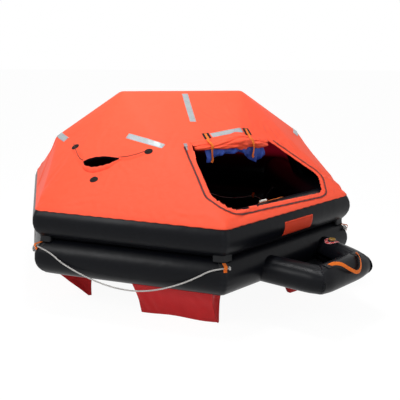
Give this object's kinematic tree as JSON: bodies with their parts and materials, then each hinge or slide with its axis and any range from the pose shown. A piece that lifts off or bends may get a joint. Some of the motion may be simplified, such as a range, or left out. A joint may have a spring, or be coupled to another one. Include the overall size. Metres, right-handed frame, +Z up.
{
  "type": "inflated canopy liferaft",
  "caption": "Inflated hexagonal twin-tube liferaft with an arched tent canopy, open zipped doorway, boarding ramp, lifeline and water pockets underneath.",
  "frame": {"origin": "on the vertical centre line of the hexagon, level with the lower edges of the ballast pockets", "axes": "+Z up; the arch stands in the XZ plane; -Y points to the front corner, between the lookout side and the boarding side"},
  "size_m": [2.4808, 2.9699, 1.5243],
  "materials": {
    "tube_fabric": "coated fabric with a soft sheen",
    "patch_fabric": "dark grey coated fabric",
    "floor_fabric": "coated fabric",
    "canopy_fabric": "proofed cloth, semi-matt",
    "lining_fabric": "satin lining cloth",
    "zip_tape": "woven tape with moulded teeth",
    "zip_metal": "brushed",
    "reflective_tape": "retroreflective",
    "dark_patch": "matt",
    "orange_webbing": "woven webbing",
    "boarding_patch": "printed patch",
    "pocket_fabric": "thin coated cloth",
    "white_rope": "braided rope",
    "dark_cord": "braided cord",
    "toggle_plastic": "gloss",
    "ring_label": "printed label",
    "valve_body": "moulded",
    "valve_cap": "moulded",
    "valve_inner": "moulded",
    "bottle_paint": "painted",
    "head_brass": "machined",
    "strap_webbing": "woven webbing",
    "hose_rubber": "smooth"
  },
  "bodies": {
    "raft": {"lower_tube": "tube_fabric", "upper_tube": "tube_fabric", "arch_tube": "tube_fabric", "boarding_ramp": "tube_fabric", "corner_gussets": "patch_fabric", "handle_patches": "patch_fabric", "ramp_floor": "patch_fabric", "floor_sheet": "floor_fabric", "canopy_front": "canopy_fabric", "canopy_rear": "canopy_fabric", "door_flap_roll": "canopy_fabric", "lookout_sleeve": "canopy_fabric", "door_lining_roll": "lining_fabric", "door_zip": "zip_tape", "zip_slider": "zip_metal", "tape_left_panel": "reflective_tape", "tape_door": "reflective_tape", "tape_crest": "reflective_tape", "tapes_shoulder": "reflective_tape", "tapes_rear": "reflective_tape", "tie_patches": "dark_patch", "lookout_patches": "dark_patch", "tie_straps": "orange_webbing", "lifeline_tabs": "orange_webbing", "grab_line_tabs": "orange_webbing", "ramp_handle": "orange_webbing", "boarding_strap": "orange_webbing", "boarding_patch": "boarding_patch", "ballast_pocket_front": "pocket_fabric", "ballast_pocket_left": "pocket_fabric", "ballast_pocket_boarding": "pocket_fabric", "ballast_pocket_rear_right": "pocket_fabric", "ballast_pocket_rear_left": "pocket_fabric", "lifeline": "white_rope", "grab_line": "white_rope", "lookout_cord_left": "dark_cord", "lookout_cord_right": "dark_cord", "strap_toggle": "toggle_plastic", "valve_ring_label": "ring_label", "valve_body_upper": "valve_body", "valve_body_lower": "valve_body", "valve_body_ramp": "valve_body", "relief_body_upper": "valve_body", "relief_body_lower": "valve_body", "gas_bottle": "bottle_paint", "inflation_head": "head_brass", "bottle_straps": "strap_webbing", "hose_lower": "hose_rubber", "hose_upper": "hose_rubber", "hose_inlets": "valve_body", "floor_grommet": "valve_body"},
    "cap_upper": {"valve_cap_upper": "valve_cap"},
    "poppet_upper": {"valve_poppet_upper": "valve_inner"},
    "cap_lower": {"valve_cap_lower": "valve_cap"},
    "poppet_lower": {"valve_poppet_lower": "valve_inner"},
    "cap_ramp": {"valve_cap_ramp": "valve_cap"},
    "poppet_ramp": {"valve_poppet_ramp": "valve_inner"},
    "relief_upper": {"relief_poppet_upper": "valve_cap"},
    "relief_lower": {"relief_poppet_lower": "valve_cap"}
  },
  "joints": [
    {"name": "cap_turn_upper", "type": "hinge", "parent": "raft", "child": "cap_upper", "pos_m": [-0.36252, 0.86789, 0.68], "axis": [0.5, -0.866, 0], "range_deg": [0, 90]},
    {"name": "poppet_push_upper", "type": "slide", "parent": "raft", "child": "poppet_upper", "axis": [-0.5, 0.866, 0], "range_m": [0, 0.004], "stiffness_N_per_m": 300},
    {"name": "cap_turn_lower", "type": "hinge", "parent": "raft", "child": "cap_lower", "pos_m": [0.25859, 0.92789, 0.41], "axis": [-0.5, -0.866, 0], "range_deg": [0, 90]},
    {"name": "poppet_push_lower", "type": "slide", "parent": "raft", "child": "poppet_lower", "axis": [0.5, 0.866, 0], "range_m": [0, 0.004], "stiffness_N_per_m": 300},
    {"name": "cap_turn_ramp", "type": "hinge", "parent": "raft", "child": "cap_ramp", "pos_m": [0.96394, -0.9432, 0.4812], "axis": [0, 0, 1], "range_deg": [0, 90]},
    {"name": "poppet_push_ramp", "type": "slide", "parent": "raft", "child": "poppet_ramp", "axis": [0, 0, -1], "range_m": [0, 0.004], "stiffness_N_per_m": 300},
    {"name": "relief_lift_upper", "type": "slide", "parent": "raft", "child": "relief_upper", "axis": [0.5, 0.866, 0], "range_m": [0, 0.003], "stiffness_N_per_m": 800},
    {"name": "relief_lift_lower", "type": "slide", "parent": "raft", "child": "relief_lower", "axis": [-0.5, 0.866, 0], "range_m": [0, 0.003], "stiffness_N_per_m": 800}
  ]
}
